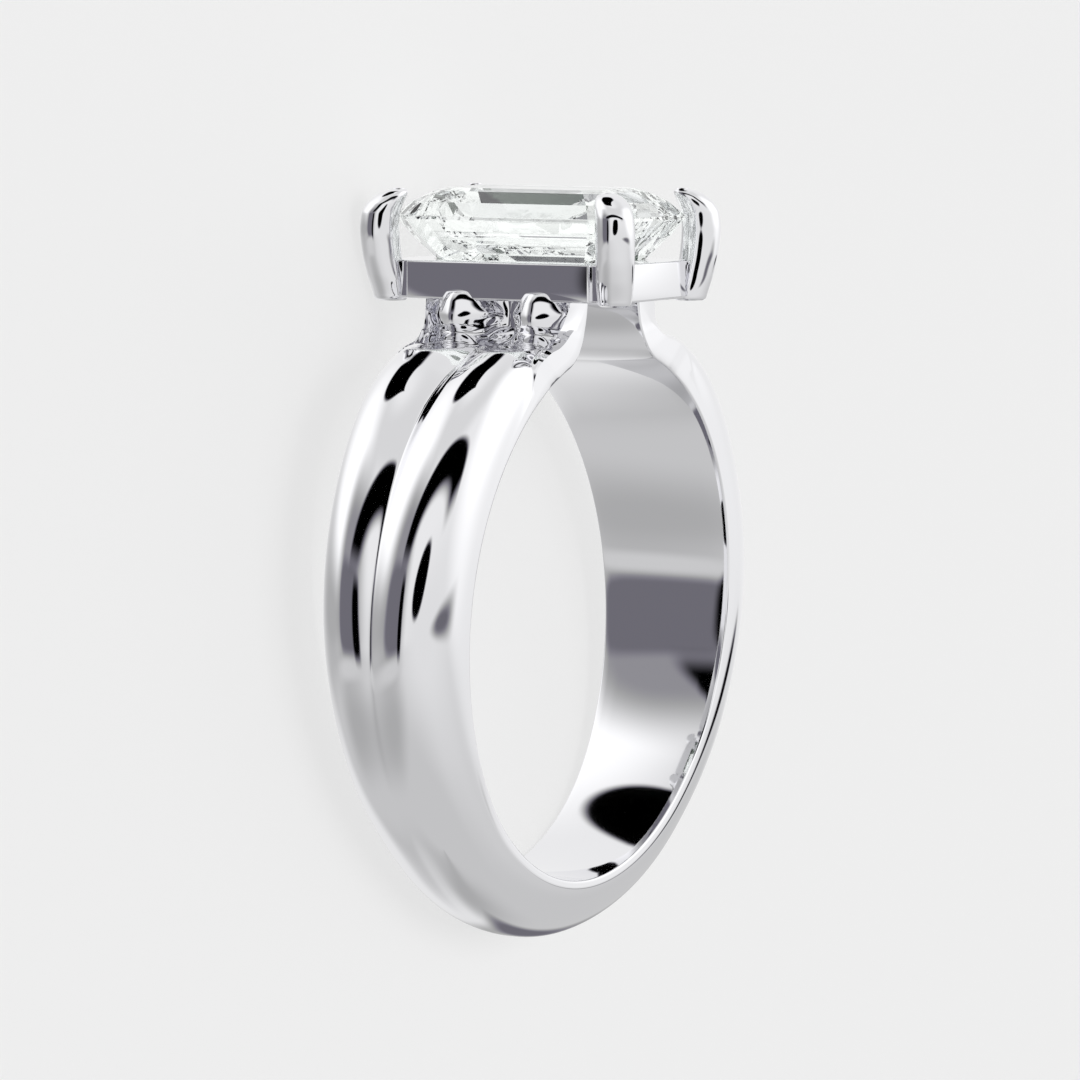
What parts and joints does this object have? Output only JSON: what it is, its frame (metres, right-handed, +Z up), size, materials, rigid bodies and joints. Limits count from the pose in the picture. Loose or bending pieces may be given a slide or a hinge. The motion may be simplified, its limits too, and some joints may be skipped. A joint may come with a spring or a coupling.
{
  "type": "solitaire engagement ring",
  "caption": "Finger ring with a double-ridged polished band, a rectangular gallery with claws and an emerald-cut centre stone.",
  "frame": {"origin": "centre of the bounding box at its base, on the surface that the ring lies on", "axes": "+Z up, about along the finger hole (8.5 degrees from it), -Y towards the stone, +X across the finger hole"},
  "size_m": [0.0212, 0.0238, 0.0096],
  "materials": {
    "white_gold": "mirror polished white gold",
    "diamond": "clear, step cut"
  },
  "bodies": {
    "root": {"ring_mount": "white_gold", "centre_stone": "diamond"}
  },
  "joints": []
}
